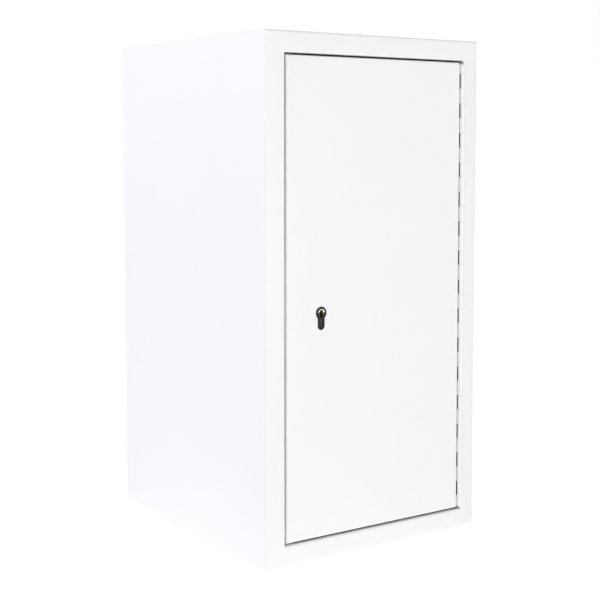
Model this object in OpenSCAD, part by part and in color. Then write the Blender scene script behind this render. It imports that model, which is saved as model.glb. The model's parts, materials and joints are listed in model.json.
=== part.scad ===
// Parcel locker: a folded sheet-steel cabinet with one inset door on a full-height piano hinge
// and a mortise deadlock worked by a profile half cylinder.
// X runs left to right, Y from the front to the back, Z up. The origin is under the middle.
// Inside the modules a point is (x, depth, z), measured from the front lower left corner.

/* [Cabinet] */
// Outside width
body_w = 410; // [400:1:420]
// Outside height
body_h = 800; // [800:1:840]
// Depth from the front face to the rear flanges
body_d = 465; // [430:1:500]
// Thickness of the steel sheet
sheet = 2; // [1.8:0.1:2.1]
// Inside radius of the bends in the cabinet
bend_r = 2; // [1.5:0.1:2]
// Width of the frame on the left of the door
left_stile = 35; // [34:0.5:36]
// Width of the frame on the right of the door
right_stile = 28; // [27:0.5:29]
// Height of the frame above and below the door
rail_h = 32; // [31:0.5:33]
// Depth of the returns round the door opening
return_d = 23; // [23:0.1:23.2]
// Width of the flanges that hold the back panel
rear_flange = 20; // [18:0.5:20]

/* [Door] */
// Gap between the door and the left side of the opening
gap_side = 2.5; // [2:0.1:3]
// Gap above and below the door
gap_end = 3; // [2.5:0.1:3.5]
// Depth of the door pan
door_d = 22; // [21.8:0.1:22]
// Inside radius of the bends in the door
door_bend_r = 1.5; // [1.2:0.1:1.5]
// Width of the lips round the back of the door
lip_w = 12; // [10:0.5:13]

/* [Hinge] */
// Radius of the knuckles
knuckle_r = 4; // [4:0.1:4]
// Radius of the pin
hinge_pin_r = 2; // [1.8:0.1:2]
// How far the pin's axis stands in front of the door face
axis_out = 2; // [2:0.1:2.2]
// Number of knuckles on the frame leaf
frame_knuckles = 15; // [15:1:15]
// Height of one pair of knuckles
knuckle_pitch = 47.7; // [47:0.1:48]
// Height of the opening in the door leaf for a frame knuckle
knuckle_slot = 23.6; // [22:0.1:24]
// Rivets in each leaf
rivets = 8; // [4:1:8]

/* [Lock] */
// Centre of the key plug from the left side
lock_x = 99.5; // [99:0.1:100]
// Centre of the key plug above the base
lock_z = 379.5; // [375:0.5:385]
// Radius of the cylinder's barrel
barrel_r = 8.5; // [8.5:0.1:8.5]
// Width of the cylinder's leg
leg_w = 10; // [10:0.1:10]
// Bottom of the cylinder's leg below the plug centre
leg_drop = 24.5; // [24.5:0.1:24.5]
// Radius of the key plug
plug_r = 6.5; // [6.4:0.1:6.5]
// Clearance round the cylinder in the door face
cutout_gap = 0.8; // [0.6:0.1:1]
// Height of the deadbolt
bolt_h = 22; // [20:0.5:22]
// Thickness of the deadbolt
bolt_t = 10; // [9.5:0.1:10]

/* [Fixing holes] */
// Diameter of the holes in the back panel and the floor
fixing_hole = 10; // [8:0.5:12]
// Spacing of the fixing holes across the cabinet
hole_x = 300; // [280:5:310]
// Spacing of the wall holes in height
wall_hole_z = 600; // [500:10:620]
// Spacing of the floor holes in depth
floor_hole_y = 350; // [300:5:350]

/* [Hidden] */

$fn = 64;
eps = 0.01;
past = 5;                           // how far a cutter runs past what it cuts

knuckle_out = axis_out + knuckle_r; // how far the knuckles stand in front of the frame
shift_y = -(body_d - knuckle_out) / 2;

open_x0 = left_stile;
open_x1 = body_w - right_stile;
open_z0 = rail_h;
open_z1 = body_h - rail_h;
opening_w = open_x1 - open_x0;

hinge_x = open_x1 - knuckle_r;
hinge_leaf_t = 2;
hinge_leaf_d = 20;
hinge_end = 6;                      // from the opening's end to the end of the hinge
hinge_z0 = open_z0 + hinge_end;
hinge_z1 = open_z1 - hinge_end;
knuckle_gap = 0.3;
pin_gap = 0.05;
notch_d = 8;                        // depth of the notches between knuckles
knuckle_rise = 1.4;                 // of the middle frame knuckle above the middle of the hinge
rivet_r = 1.5;
rivet_head_r = 2.6;
rivet_head_h = 1.2;
rivet_d = 12;
rivet_end = 28;

door_x0 = open_x0 + gap_side;
door_x1 = hinge_x - knuckle_r;
door_z0 = open_z0 + gap_end;
door_z1 = open_z1 - gap_end;

strip_t = 1.5;
strip_r = 0.5;
strip_front = 24;                   // front face of the stop strips
strip_reach = 15;                   // how far a strip stands into the opening
strip_leg = 18;
buffer_r = 4.5;
buffer_gap = 0.3;
buffer_in = 7.5;                    // buffer centre from the edge of the opening

case_x0 = 42.5;
case_x1 = 131;
case_z0 = lock_z - 33.5;
case_z1 = lock_z + 48.5;
case_d0 = 22.5;
case_d1 = 36;
case_t = 1.5;
cover_t = 1.5;
forend_x = 39.5;
forend_t = case_x0 - forend_x;
forend_d0 = 20.2;
forend_d1 = 40;
forend_over = 6;                    // how far the forend passes the case at each end
cam_d = 30;                         // middle of the cam, the bolt and the case

cylinder_front = -1;
cylinder_back = 40;
cam_slot_d0 = cam_d - 5;
cam_slot_d1 = cam_d + 6;
cam_reach = 15;
cam_w = 8;
cam_t = 9.4;
cam_hub_r = 7.5;
cam_clear = 0.6;
neck_r = 4.5;
neck_end = 38.5;
fit_gap = 0.05;
clip_t = 0.8;
clip_groove_r = 3.8;
clip_out_r = 6;
clip_d0 = cam_d + cam_t / 2 + 0.2;
screw_drop = 20;                    // cylinder screw below the plug centre
screw_r = 2.45;
screw_head_r = 4.6;

keyway_w = 2.2;
keyway_top = 3.6;
ward_w = 0.9;
pin_count = 5;
pin_pitch = 4;
pin_first = 4;
pin_r = 1.4;
chamber_r = 1.5;
key_pin_top = 1.8;                  // top of a key pin below the plug centre
shear_gap = 0.1;
driver_len = 5;
spring_wire_r = 0.2;
spring_r = 1.1;
spring_turns = 6;
spring_steps = 8;                   // rings in one turn of a spring
spring_sides = 4;
chamber_cap = 1.5;

bolt_z0 = lock_z + 11.2;
bolt_z1 = bolt_z0 + bolt_h;
bolt_mid_z = (bolt_z0 + bolt_z1) / 2;
bolt_tail = 128;
bolt_d0 = cam_d - bolt_t / 2;
bolt_gap = 0.3;
bolt_throw = 20;
talon_x = lock_x + bolt_throw / 2;
talon_w = 26;
talon_top = cam_reach + 0.6;
post_r = 3;
guide_x = 80;
guide_z = bolt_z0 + 14;
guide_slot_r = post_r + 0.2;
posts = [[guide_x, guide_z], [54, case_z0 + 8], [121, case_z0 + 8]];
cover_screw_r = 1.5;
fixing_screws = [[62, lock_z - 8], [123, lock_z - 8], [51, case_z1 - 8], [124, case_z1 - 7]];
fixing_screw_r = 2;
fixing_head_r = 3.5;

bracket_x0 = 50;
bracket_x1 = 126;
bracket_over = 6;                   // how far the bracket's crown passes the case
bracket_foot = 16;
stiffener_x = 236;
stiffener_w = 44;
stiffener_foot = 14;
stiffener_deep = 14;
stiffener_end = 4;

strike_t = 2;
strike_d0 = 6;
strike_d1 = 52;
strike_h = 100;
strike_z0 = bolt_mid_z - strike_h / 2;
strike_screw_d = 14;
strike_screw_in = 10;
strike_space = 14;                  // between the strike plate and the stop strips
strike_screw_r = 2;
strike_gap = 1.2;                   // round the deadbolt in the strike plate

white = "white";
steel = "lightslategray";
zinc = "silver";
dark = "dimgray";
brass = "goldenrod";

// Everything is drawn in (x, depth, z) and moved to the frame of the part here.
module placed() {
    translate([-body_w / 2, shift_y, 0]) children();
}

// Cylinder along +Z between two heights.
module post_z(x, d, z0, z1, r) {
    translate([x, d, z0]) cylinder(h = z1 - z0, r = r);
}

// Cylinder along +X.
module rod_x(x0, x1, d, z, r) {
    translate([x0, d, z]) rotate([0, 90, 0]) cylinder(h = x1 - x0, r = r);
}

// Cylinder or cone along the depth.
module rod_d(x, z, d0, d1, r, r_end = undef) {
    translate([x, d0, z]) rotate([-90, 0, 0]) cylinder(h = d1 - d0, r1 = r, r2 = is_undef(r_end) ? r : r_end);
}

// Draws a section in (x, depth) through the height.
module along_z(z0, z1) {
    translate([0, 0, z0]) linear_extrude(z1 - z0) children();
}

// Draws a section in (x, z) through the depth.
module along_d(d0, d1) {
    translate([0, d1, 0]) rotate([90, 0, 0]) linear_extrude(d1 - d0) children();
}

// Draws a section in (z, depth) through the width.
module along_x(x0, x1) {
    translate([x1, 0, 0]) rotate([0, -90, 0]) linear_extrude(x1 - x0) children();
}

// Quarter of a bend, from the +y axis to the +x axis.
module bend(r, t) {
    intersection() {
        difference() {
            circle(r + t);
            circle(r);
        }
        square(r + t);
    }
}

// Folded strip that starts at the origin along +x. flats are its straight lengths and
// turns its bends, 1 to the left and -1 to the right. The strip lies left of the path.
module folded(flats, turns, r, t, i = 0) {
    square([flats[i], t]);
    if (i < len(turns)) {
        if (turns[i] > 0) {
            translate([flats[i], t + r]) mirror([0, 1]) bend(r, t);
            translate([flats[i] + r + t, t + r]) rotate(90) folded(flats, turns, r, t, i + 1);
        } else {
            translate([flats[i], -r]) bend(r, t);
            translate([flats[i] + r, -r]) rotate(-90) folded(flats, turns, r, t, i + 1);
        }
    }
}

// Straight lengths of a strip whose outside lengths are given and whose bends all turn left.
function flats_of(sides, r, t) = [
    for (i = [0:len(sides) - 1])
        sides[i] - (i > 0 ? r + t : 0) - (i < len(sides) - 1 ? r + t : 0)
];

// Section of a cabinet side: rear flange, wall, frame face and return.
module cabinet_section(face_w) {
    sides = [rear_flange, body_d, face_w, return_d];
    translate([rear_flange, body_d]) rotate(180)
        folded(flats_of(sides, bend_r, sheet), [1, 1, 1], bend_r, sheet);
}

// Edge of the mitre at a corner of the cabinet, from the outer corner inward.
function mitre(x_sign, x_at, stile, z_sign, z_at) = [
    [x_at - x_sign, z_at - z_sign],
    [x_at + x_sign * rear_flange, z_at + z_sign * rear_flange],
    [x_at + x_sign * (stile - 6), z_at + z_sign * (rail_h - 6)],
    [x_at + x_sign * (stile + 1), z_at + z_sign * (rail_h + 1)]
];
function reversed(points) = [for (i = [len(points) - 1:-1:0]) points[i]];
corner_bl = mitre(1, 0, left_stile, 1, 0);
corner_tl = mitre(1, 0, left_stile, -1, body_h);
corner_br = mitre(-1, body_w, right_stile, 1, 0);
corner_tr = mitre(-1, body_w, right_stile, -1, body_h);

// Keeps what lies inside an outline in (x, z).
module mitred(outline) {
    intersection() {
        children();
        along_d(-past, body_d + past) polygon(outline);
    }
}

// Rounded rectangle with the same radius at each corner.
module rounded(x0, y0, x1, y1, r) {
    translate([x0, y0 + r]) square([x1 - x0, y1 - y0 - 2 * r]);
    translate([x0 + r, y0]) square([x1 - x0 - 2 * r, y1 - y0]);
    for (x = [x0 + r, x1 - r]) {
        for (y = [y0 + r, y1 - r]) {
            translate([x, y]) circle(r);
        }
    }
}

function rivet_z(i) = hinge_z0 + rivet_end + i * (hinge_z1 - hinge_z0 - 2 * rivet_end) / (rivets - 1);
function frame_knuckle_z(i) = (hinge_z0 + hinge_z1) / 2 + knuckle_rise + (i - (frame_knuckles - 1) / 2) * knuckle_pitch;

// Outline of the profile cylinder, in (x, z), grown by gap.
module cylinder_outline(gap) {
    translate([lock_x, lock_z]) circle(barrel_r + gap);
    translate([lock_x - leg_w / 2 - gap, lock_z - leg_drop + leg_w / 2]) square([leg_w + 2 * gap, leg_drop - leg_w / 2]);
    translate([lock_x, lock_z - leg_drop + leg_w / 2]) circle(leg_w / 2 + gap);
}

// Holes for the rivets through a leaf and what it is riveted to.
module rivet_holes(x0, x1) {
    for (i = [0:rivets - 1]) {
        rod_x(x0, x1, rivet_d, rivet_z(i), rivet_r + fit_gap);
    }
}

module left_side_panel() {
    color(white) placed() difference() {
        mitred(concat(corner_bl, reversed(corner_tl)))
            along_z(0, body_h) cabinet_section(left_stile);
        for (z = [strike_z0 + strike_screw_in, strike_z0 + strike_h - strike_screw_in]) {
            rod_x(open_x0 - sheet - 1, open_x0 + 1, strike_screw_d, z, strike_screw_r + fit_gap);
        }
    }
}

module right_side_panel() {
    color(white) placed() difference() {
        mitred(concat(corner_br, reversed(corner_tr)))
            translate([body_w, 0, 0]) mirror([1, 0, 0]) along_z(0, body_h) cabinet_section(right_stile);
        rivet_holes(open_x1 - 1, open_x1 + sheet + 1);
    }
}

module top_panel() {
    color(white) placed() mitred(concat(corner_tl, reversed(corner_tr)))
        translate([0, 0, body_h]) mirror([0, 0, 1]) along_x(0, body_w) cabinet_section(rail_h);
}

module bottom_panel() {
    color(white) placed() difference() {
        mitred(concat(corner_bl, reversed(corner_br)))
            along_x(0, body_w) cabinet_section(rail_h);
        for (x = [-1, 1]) {
            for (y = [-1, 1]) {
                post_z(body_w / 2 + x * hole_x / 2, body_d / 2 + y * floor_hole_y / 2, -past, past, fixing_hole / 2);
            }
        }
    }
}

back_in = sheet + bend_r + 0.5;     // back panel from the outside of the cabinet
module back_panel() {
    color(white) placed() difference() {
        translate([back_in, body_d - 2 * sheet, back_in])
            cube([body_w - 2 * back_in, sheet, body_h - 2 * back_in]);
        for (x = [-1, 1]) {
            for (z = [-1, 1]) {
                rod_d(body_w / 2 + x * hole_x / 2, body_h / 2 + z * wall_hole_z / 2,
                      body_d - 2 * sheet - past, body_d + past, fixing_hole / 2);
            }
        }
    }
}

// Section of a stop strip, with its short leg behind a return whose face is at 0.
module strip_section() {
    sides = [strip_leg, strip_reach + sheet + strip_t];
    translate([-sheet - strip_t, strip_front + strip_t]) mirror([0, 1]) translate([0, strip_leg]) rotate(-90)
        folded(flats_of(sides, strip_r, strip_t), [1], strip_r, strip_t);
}

strip_end = 3;                      // clearance at the ends of the stop strips
module level_strip() {
    along_x(open_x0 + strip_reach + strip_end, open_x1 - strip_end) strip_section();
}

module stop_strip_top() {
    color(white) placed() translate([0, 0, open_z1]) mirror([0, 0, 1]) level_strip();
}

module stop_strip_bottom() {
    color(white) placed() translate([0, 0, open_z0]) level_strip();
}

module stop_strip_left_upper() {
    color(white) placed() translate([open_x0, 0, 0])
        along_z(strike_z0 + strike_h + strike_space, open_z1 - strip_end) strip_section();
}

module stop_strip_left_lower() {
    color(white) placed() translate([open_x0, 0, 0])
        along_z(open_z0 + strip_end, strike_z0 - strike_space) strip_section();
}

// Rubber dots on the stop strips that the door's lips close on.
module door_buffers() {
    spots = [
        [body_w / 2 - opening_w / 4, open_z1 - buffer_in], [body_w / 2 + opening_w / 4, open_z1 - buffer_in],
        [body_w / 2 - opening_w / 4, open_z0 + buffer_in], [body_w / 2 + opening_w / 4, open_z0 + buffer_in],
        [open_x0 + buffer_in, body_h / 4], [open_x0 + buffer_in, body_h * 3 / 4]
    ];
    color(dark) placed() for (s = spots) {
        rod_d(s[0], s[1], door_d + buffer_gap, strip_front, buffer_r);
    }
}

module strike_plate() {
    color(zinc) placed() difference() {
        along_z(strike_z0, strike_z0 + strike_h)
            translate([open_x0 - sheet, strike_d0]) rotate(90)
            folded(flats_of([strike_d1 - strike_d0, open_x0 - 2 * sheet], 1, strike_t), [1], 1, strike_t);
        translate([open_x0 - 2 * sheet - 1, cam_d - bolt_t / 2 - strike_gap, bolt_z0 - strike_gap])
            cube([sheet + 2, bolt_t + 2 * strike_gap, bolt_h + 2 * strike_gap]);
        for (z = [strike_z0 + strike_screw_in, strike_z0 + strike_h - strike_screw_in]) {
            rod_x(open_x0 - 2 * sheet - 1, open_x0, strike_screw_d, z, strike_screw_r + fit_gap);
        }
    }
}

// Pan head screw along +X with its tip at x0 and the underside of its head at x1.
module screw_x(x0, x1, d, z, r, head_r, head_h) {
    rod_x(x0, x1 + eps, d, z, r);
    difference() {
        rod_x(x1, x1 + head_h, d, z, head_r);
        translate([x1 + head_h / 2, d - head_r, z - head_r / 8]) cube([head_h, 2 * head_r, head_r / 4]);
    }
}

module strike_screws() {
    color(zinc) placed() for (z = [strike_z0 + strike_screw_in, strike_z0 + strike_h - strike_screw_in]) {
        screw_x(open_x0 - 10, open_x0, strike_screw_d, z, strike_screw_r, 3.5, 1.6);
    }
}

// Section of a hinge leaf, in (x, depth): plate and rolled knuckle. side is -1 or 1.
module leaf_plate(side) {
    translate([hinge_x + (side > 0 ? knuckle_r - hinge_leaf_t : -knuckle_r), -axis_out])
        square([hinge_leaf_t, hinge_leaf_d + axis_out]);
}

// Leaf of the hinge with the bore for the pin and notches from z0 to z1 in pairs.
module hinge_leaf(side, notches) {
    difference() {
        union() {
            along_z(hinge_z0, hinge_z1) leaf_plate(side);
            post_z(hinge_x, -axis_out, hinge_z0, hinge_z1, knuckle_r);
        }
        post_z(hinge_x, -axis_out, hinge_z0 - past, hinge_z1 + past, hinge_pin_r + pin_gap);
        for (n = notches) {
            translate([hinge_x - knuckle_r - 1, -knuckle_out - 1, n[0]])
                cube([2 * knuckle_r + 2, knuckle_out + 1 + notch_d, n[1] - n[0]]);
        }
        rivet_holes(hinge_x - knuckle_r - 1, hinge_x + knuckle_r + 1);
    }
}

function slot_z0(i) = frame_knuckle_z(i) - knuckle_slot / 2;
function slot_z1(i) = frame_knuckle_z(i) + knuckle_slot / 2;
door_notches = [for (i = [0:frame_knuckles - 1]) [slot_z0(i), slot_z1(i)]];
frame_notches = [
    for (i = [0:frame_knuckles])
        [i == 0 ? hinge_z0 - past : slot_z1(i - 1) - knuckle_gap,
         i == frame_knuckles ? hinge_z1 + past : slot_z0(i) + knuckle_gap]
];

module hinge_frame_leaf() {
    color(white) placed() hinge_leaf(1, frame_notches);
}

module hinge_door_leaf() {
    color(white) placed() hinge_leaf(-1, door_notches);
}

module hinge_pin() {
    color(zinc) placed() post_z(hinge_x, -axis_out, hinge_z0, hinge_z1, hinge_pin_r);
}

// Rivets along X. The dome is at x_head and the tail on the far side, toward -side.
module rivet_row(x_head, x_tail, side) {
    for (i = [0:rivets - 1]) {
        translate([0, rivet_d, rivet_z(i)]) {
            rod_x(min(x_head, x_tail) - eps, max(x_head, x_tail) + eps, 0, 0, rivet_r);
            translate([x_head, 0, 0]) rotate([0, side * 90, 0]) rivet_dome();
            translate([x_tail, 0, 0]) rotate([0, side * -90, 0]) cylinder(h = 0.8, r = rivet_head_r - 0.4);
        }
    }
}

// Dome of a rivet: the cap of a sphere on the z = 0 plane.
module rivet_dome() {
    dome_r = (rivet_head_r * rivet_head_r + rivet_head_h * rivet_head_h) / (2 * rivet_head_h);
    intersection() {
        translate([0, 0, rivet_head_h - dome_r]) sphere(dome_r);
        cylinder(h = 2 * rivet_head_h, r = 2 * rivet_head_r);
    }
}

module hinge_frame_rivets() {
    color(zinc) placed() rivet_row(open_x1 - hinge_leaf_t, open_x1 + sheet, -1);
}

module hinge_door_rivets() {
    color(zinc) placed() rivet_row(door_x1 + hinge_leaf_t, door_x1 - sheet, 1);
}

// Closed box with rounded long edges, inset from the door's outside.
module door_block(inset) {
    r = door_bend_r + sheet - inset;
    intersection() {
        along_z(door_z0 + inset, door_z1 - inset)
            rounded(door_x0 + inset, inset, door_x1 - inset, door_d - inset, r);
        along_x(door_x0 + inset - 1, door_x1 - inset + 1)
            rounded(door_z0 + inset, inset, door_z1 - inset, door_d - inset, r);
    }
}

module door_panel() {
    color(white) placed() difference() {
        door_block(0);
        door_block(sheet);
        translate([door_x0 + lip_w, door_d - sheet - 1, door_z0 + lip_w])
            cube([door_x1 - door_x0 - 2 * lip_w, sheet + 2, door_z1 - door_z0 - 2 * lip_w]);
        translate([door_x0 + sheet, door_d - sheet - 0.5, case_z0 - forend_over - 3])
            cube([lip_w, sheet + 1, case_z1 - case_z0 + 2 * forend_over + 6]);
        along_d(-1, sheet + 1) cylinder_outline(cutout_gap);
        rivet_holes(door_x1 - sheet - 1, door_x1 + 1);
    }
}

// Hat section from its left foot, with the feet on y = 0 and the back of the crown at y = deep.
module hat(foot, crown, deep, r, t) {
    web = deep - 2 * r - 2 * t;
    folded([foot - r, web, crown - 2 * r - 2 * t, web, foot - r], [1, -1, -1, 1], r, t);
}

module door_stiffener() {
    web_span = stiffener_w - 2 * stiffener_foot;
    color(white) placed() along_z(door_z0 + sheet + stiffener_end, door_z1 - sheet - stiffener_end)
        translate([stiffener_x - stiffener_w / 2, sheet]) hat(stiffener_foot, web_span, stiffener_deep, 1, 1.5);
}

module lock_bracket() {
    z0 = case_z0 - bracket_over;
    z1 = case_z1 + bracket_over;
    deep = case_d0 - sheet;
    color(zinc) placed() difference() {
        along_x(bracket_x0, bracket_x1)
            translate([z0 - bracket_foot, sheet]) hat(bracket_foot, z1 - z0, deep, 1.5, sheet);
        along_d(case_d0 - sheet - 1, case_d0 + 1) cylinder_outline(cutout_gap);
        for (s = fixing_screws) {
            rod_d(s[0], s[1], case_d0 - sheet - 1, case_d0 + 1, fixing_screw_r + fit_gap);
        }
    }
}

// Opening in the case and forend that the bolt slides through.
module bolt_window(x0, x1) {
    translate([x0, bolt_d0 - bolt_gap, bolt_z0 - bolt_gap])
        cube([x1 - x0, bolt_t + 2 * bolt_gap, bolt_h + 2 * bolt_gap]);
}

module lock_case() {
    color(zinc) placed() difference() {
        translate([case_x0, case_d0, case_z0]) cube([case_x1 - case_x0, case_d1 - case_d0, case_z1 - case_z0]);
        translate([case_x0 + case_t, case_d0 + case_t, case_z0 + case_t])
            cube([case_x1 - case_x0 - 2 * case_t, case_d1, case_z1 - case_z0 - 2 * case_t]);
        along_d(case_d0 - 1, case_d0 + case_t + 1) cylinder_outline(0.2);
        bolt_window(case_x0 - 1, case_x0 + case_t + 1);
        rod_x(case_x0 - 1, case_x0 + case_t + 1, cam_d, lock_z - screw_drop, screw_r + 0.2);
        for (s = fixing_screws) {
            rod_d(s[0], s[1], case_d0 - 1, case_d0 + case_t + 1, fixing_screw_r + fit_gap);
        }
    }
}

module lock_cover() {
    color(zinc) placed() difference() {
        translate([case_x0, case_d1, case_z0]) cube([case_x1 - case_x0, cover_t, case_z1 - case_z0]);
        along_d(case_d1 - 1, case_d1 + cover_t + 1) cylinder_outline(0.2);
        for (p = posts) {
            rod_d(p[0], p[1], case_d1 - 1, case_d1 + cover_t + 1, cover_screw_r + fit_gap);
        }
    }
}

module lock_forend() {
    z0 = case_z0 - forend_over;
    color(steel) placed() difference() {
        translate([forend_x, forend_d0, z0])
            cube([forend_t, forend_d1 - forend_d0, case_z1 - case_z0 + 2 * forend_over]);
        bolt_window(forend_x - 1, case_x0 + 1);
        rod_x(forend_x - 1, case_x0 + 1, cam_d, lock_z - screw_drop, screw_r + 0.2);
        translate([forend_x, cam_d, lock_z - screw_drop]) rotate([0, 90, 0])
            cylinder(h = screw_head_r - screw_r, r1 = screw_head_r + 0.1, r2 = screw_r + 0.1);
    }
}

// Posts between the case and its cover. The first one guides the bolt.
module lock_posts() {
    color(zinc) placed() difference() {
        for (p = posts) {
            rod_d(p[0], p[1], case_d0 + case_t, case_d1, post_r);
        }
        for (p = posts) {
            rod_d(p[0], p[1], cam_d - 1, case_d1 + 1, cover_screw_r + fit_gap);
        }
    }
}

// Bowed leaf spring between the top of the case and the bolt.
module lock_detent_spring() {
    bow = 45;
    spring_t = 0.8;
    inner_top = case_z1 - case_t;
    color(steel) placed() intersection() {
        along_d(cam_d - 3, cam_d + 3) translate([86, bolt_z1 + 0.15 + bow]) difference() {
            circle(bow);
            circle(bow - spring_t);
        }
        translate([50, 0, bolt_z1]) cube([72, case_d1, inner_top - bolt_z1]);
    }
}

// Pan head screw along the depth, with its head from d_head towards head_side.
module screw_d(x, z, d_tip, d_head, head_side, r, head_r, head_h) {
    rod_d(x, z, min(d_tip, d_head) - (head_side < 0 ? eps : 0), max(d_tip, d_head) + (head_side > 0 ? eps : 0), r);
    d0 = head_side > 0 ? d_head : d_head - head_h;
    difference() {
        rod_d(x, z, d0, d0 + head_h, head_r);
        translate([x - head_r, head_side > 0 ? d0 + head_h / 2 : d0 - head_h / 2, z - head_r / 8])
            cube([2 * head_r, head_h, head_r / 4]);
    }
}

module lock_fixing_screws() {
    color(steel) placed() for (s = fixing_screws) {
        screw_d(s[0], s[1], case_d0 - sheet - 2, case_d0 + case_t, 1, fixing_screw_r, fixing_head_r, 2);
    }
}

module lock_cover_screws() {
    color(steel) placed() for (p = posts) {
        screw_d(p[0], p[1], cam_d + 0.5, case_d1 + cover_t, 1, cover_screw_r, 2.8, 1.5);
    }
}

function pin_d(i) = pin_first + i * pin_pitch;

module cylinder_body() {
    color(dark) placed() difference() {
        along_d(cylinder_front, cylinder_back) cylinder_outline(0);
        rod_d(lock_x, lock_z, cylinder_front - 1, cam_slot_d0 + 1, plug_r + fit_gap);
        rod_d(lock_x, lock_z, cam_slot_d0, cylinder_back + 1, neck_r + fit_gap);
        rod_d(lock_x, lock_z, cam_slot_d0, cam_slot_d1, cam_reach + cam_clear);
        rod_x(0, body_w, cam_d, lock_z - screw_drop, screw_r + fit_gap);
        for (i = [0:pin_count - 1]) {
            post_z(lock_x, pin_d(i), lock_z - leg_drop + chamber_cap, lock_z, chamber_r);
        }
    }
}

// Countersunk screw from the forend into the leg of the cylinder.
module cylinder_screw() {
    z = lock_z - screw_drop;
    color(zinc) placed() difference() {
        union() {
            rod_x(forend_x, lock_x + leg_w / 2, cam_d, z, screw_r);
            translate([forend_x, cam_d, z]) rotate([0, 90, 0])
                cylinder(h = screw_head_r - screw_r, r1 = screw_head_r, r2 = screw_r);
        }
        translate([forend_x - 1, cam_d - screw_head_r, z - 0.5]) cube([1.8, 2 * screw_head_r, 1]);
    }
}

module driver_pins() {
    color(brass) placed() for (i = [0:pin_count - 1]) {
        top = lock_z - plug_r - shear_gap;
        post_z(lock_x, pin_d(i), top - driver_len, top, pin_r);
    }
}

// Sweep of a round wire along a helix that climbs from z0 to z1.
module coil(z0, z1) {
    n = spring_turns * spring_steps;
    ring = [
        for (k = [0:n])
            let (a = 360 * k / spring_steps, z = z0 + (z1 - z0) * k / n)
            for (j = [0:spring_sides - 1])
                let (b = 360 * j / spring_sides, q = spring_r + spring_wire_r * cos(b))
                [q * cos(a), q * sin(a), z + spring_wire_r * sin(b)]
    ];
    walls = [
        for (k = [0:n - 1])
            for (j = [0:spring_sides - 1])
                let (p = k * spring_sides, m = (j + 1) % spring_sides)
                [p + j, p + spring_sides + j, p + spring_sides + m, p + m]
    ];
    first = [for (j = [0:spring_sides - 1]) j];
    last = [for (j = [spring_sides - 1:-1:0]) n * spring_sides + j];
    polyhedron(ring, concat(walls, [first, last]));
}

module pin_springs() {
    top = lock_z - plug_r - shear_gap - driver_len - spring_wire_r - 0.05;
    bottom = lock_z - leg_drop + chamber_cap + spring_wire_r + 0.05;
    color(steel) placed() for (i = [0:pin_count - 1]) {
        translate([lock_x, pin_d(i), 0]) coil(bottom, top);
    }
}

// Key plug: barrel, neck for the cam with a flat, groove for the clip, and the keyway.
module cylinder_plug() {
    flat = neck_r - 1;
    color(brass) placed() difference() {
        union() {
            rod_d(lock_x, lock_z, cylinder_front, cam_slot_d0 - 0.1, plug_r);
            rod_d(lock_x, lock_z, cylinder_front - 0.5, cylinder_front + eps, plug_r - 0.5, plug_r);
            difference() {
                rod_d(lock_x, lock_z, cam_slot_d0 - 1, neck_end, neck_r);
                translate([lock_x - past, cam_slot_d0, lock_z + flat]) cube([2 * past, cam_t + 0.5, past]);
                difference() {
                    rod_d(lock_x, lock_z, clip_d0 - 0.05, clip_d0 + clip_t + 0.05, neck_r + 1);
                    rod_d(lock_x, lock_z, clip_d0 - 1, clip_d0 + clip_t + 1, clip_groove_r);
                }
            }
        }
        translate([lock_x - keyway_w / 2, cylinder_front - 1, lock_z - plug_r - 1])
            cube([keyway_w, cam_slot_d0 - cylinder_front - 1, plug_r + 1 + keyway_top]);
        translate([lock_x, cylinder_front - 1, lock_z - 0.6])
            cube([keyway_w / 2 + ward_w, cam_slot_d0 - cylinder_front - 1, 1.4]);
        translate([lock_x - keyway_w / 2 - ward_w, cylinder_front - 1, lock_z - 3.6])
            cube([keyway_w / 2 + ward_w, cam_slot_d0 - cylinder_front - 1, 1.2]);
        for (i = [0:pin_count - 1]) {
            post_z(lock_x, pin_d(i), lock_z - plug_r - 1, lock_z - key_pin_top, chamber_r);
        }
    }
}

module cylinder_cam() {
    d0 = cam_d - cam_t / 2;
    d1 = cam_d + cam_t / 2;
    tip = cam_reach - cam_w / 2;
    color(steel) placed() difference() {
        union() {
            rod_d(lock_x, lock_z, d0, d1, cam_hub_r);
            translate([lock_x - cam_w / 2, d0, lock_z - tip]) cube([cam_w, cam_t, tip]);
            rod_d(lock_x, lock_z - tip, d0, d1, cam_w / 2);
        }
        difference() {
            rod_d(lock_x, lock_z, d0 - 1, d1 + 1, neck_r + fit_gap);
            translate([lock_x - past, d0 - 2, lock_z + neck_r - 1 + fit_gap]) cube([2 * past, cam_t + 4, past]);
        }
    }
}

module cam_clip() {
    color(steel) placed() difference() {
        rod_d(lock_x, lock_z, clip_d0, clip_d0 + clip_t, clip_out_r);
        rod_d(lock_x, lock_z, clip_d0 - 1, clip_d0 + clip_t + 1, clip_groove_r + fit_gap);
        translate([lock_x - 2, clip_d0 - 1, lock_z]) cube([4, clip_t + 2, clip_out_r + 1]);
    }
}

module key_pins() {
    color(brass) placed() for (i = [0:pin_count - 1]) {
        low = lock_z - plug_r + shear_gap + 0.2;
        top = lock_z - key_pin_top - 0.1;
        post_z(lock_x, pin_d(i), low, top - 0.8, pin_r);
        translate([lock_x, pin_d(i), top - 0.8]) cylinder(h = 0.8, r1 = pin_r, r2 = 0.5);
    }
}

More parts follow.
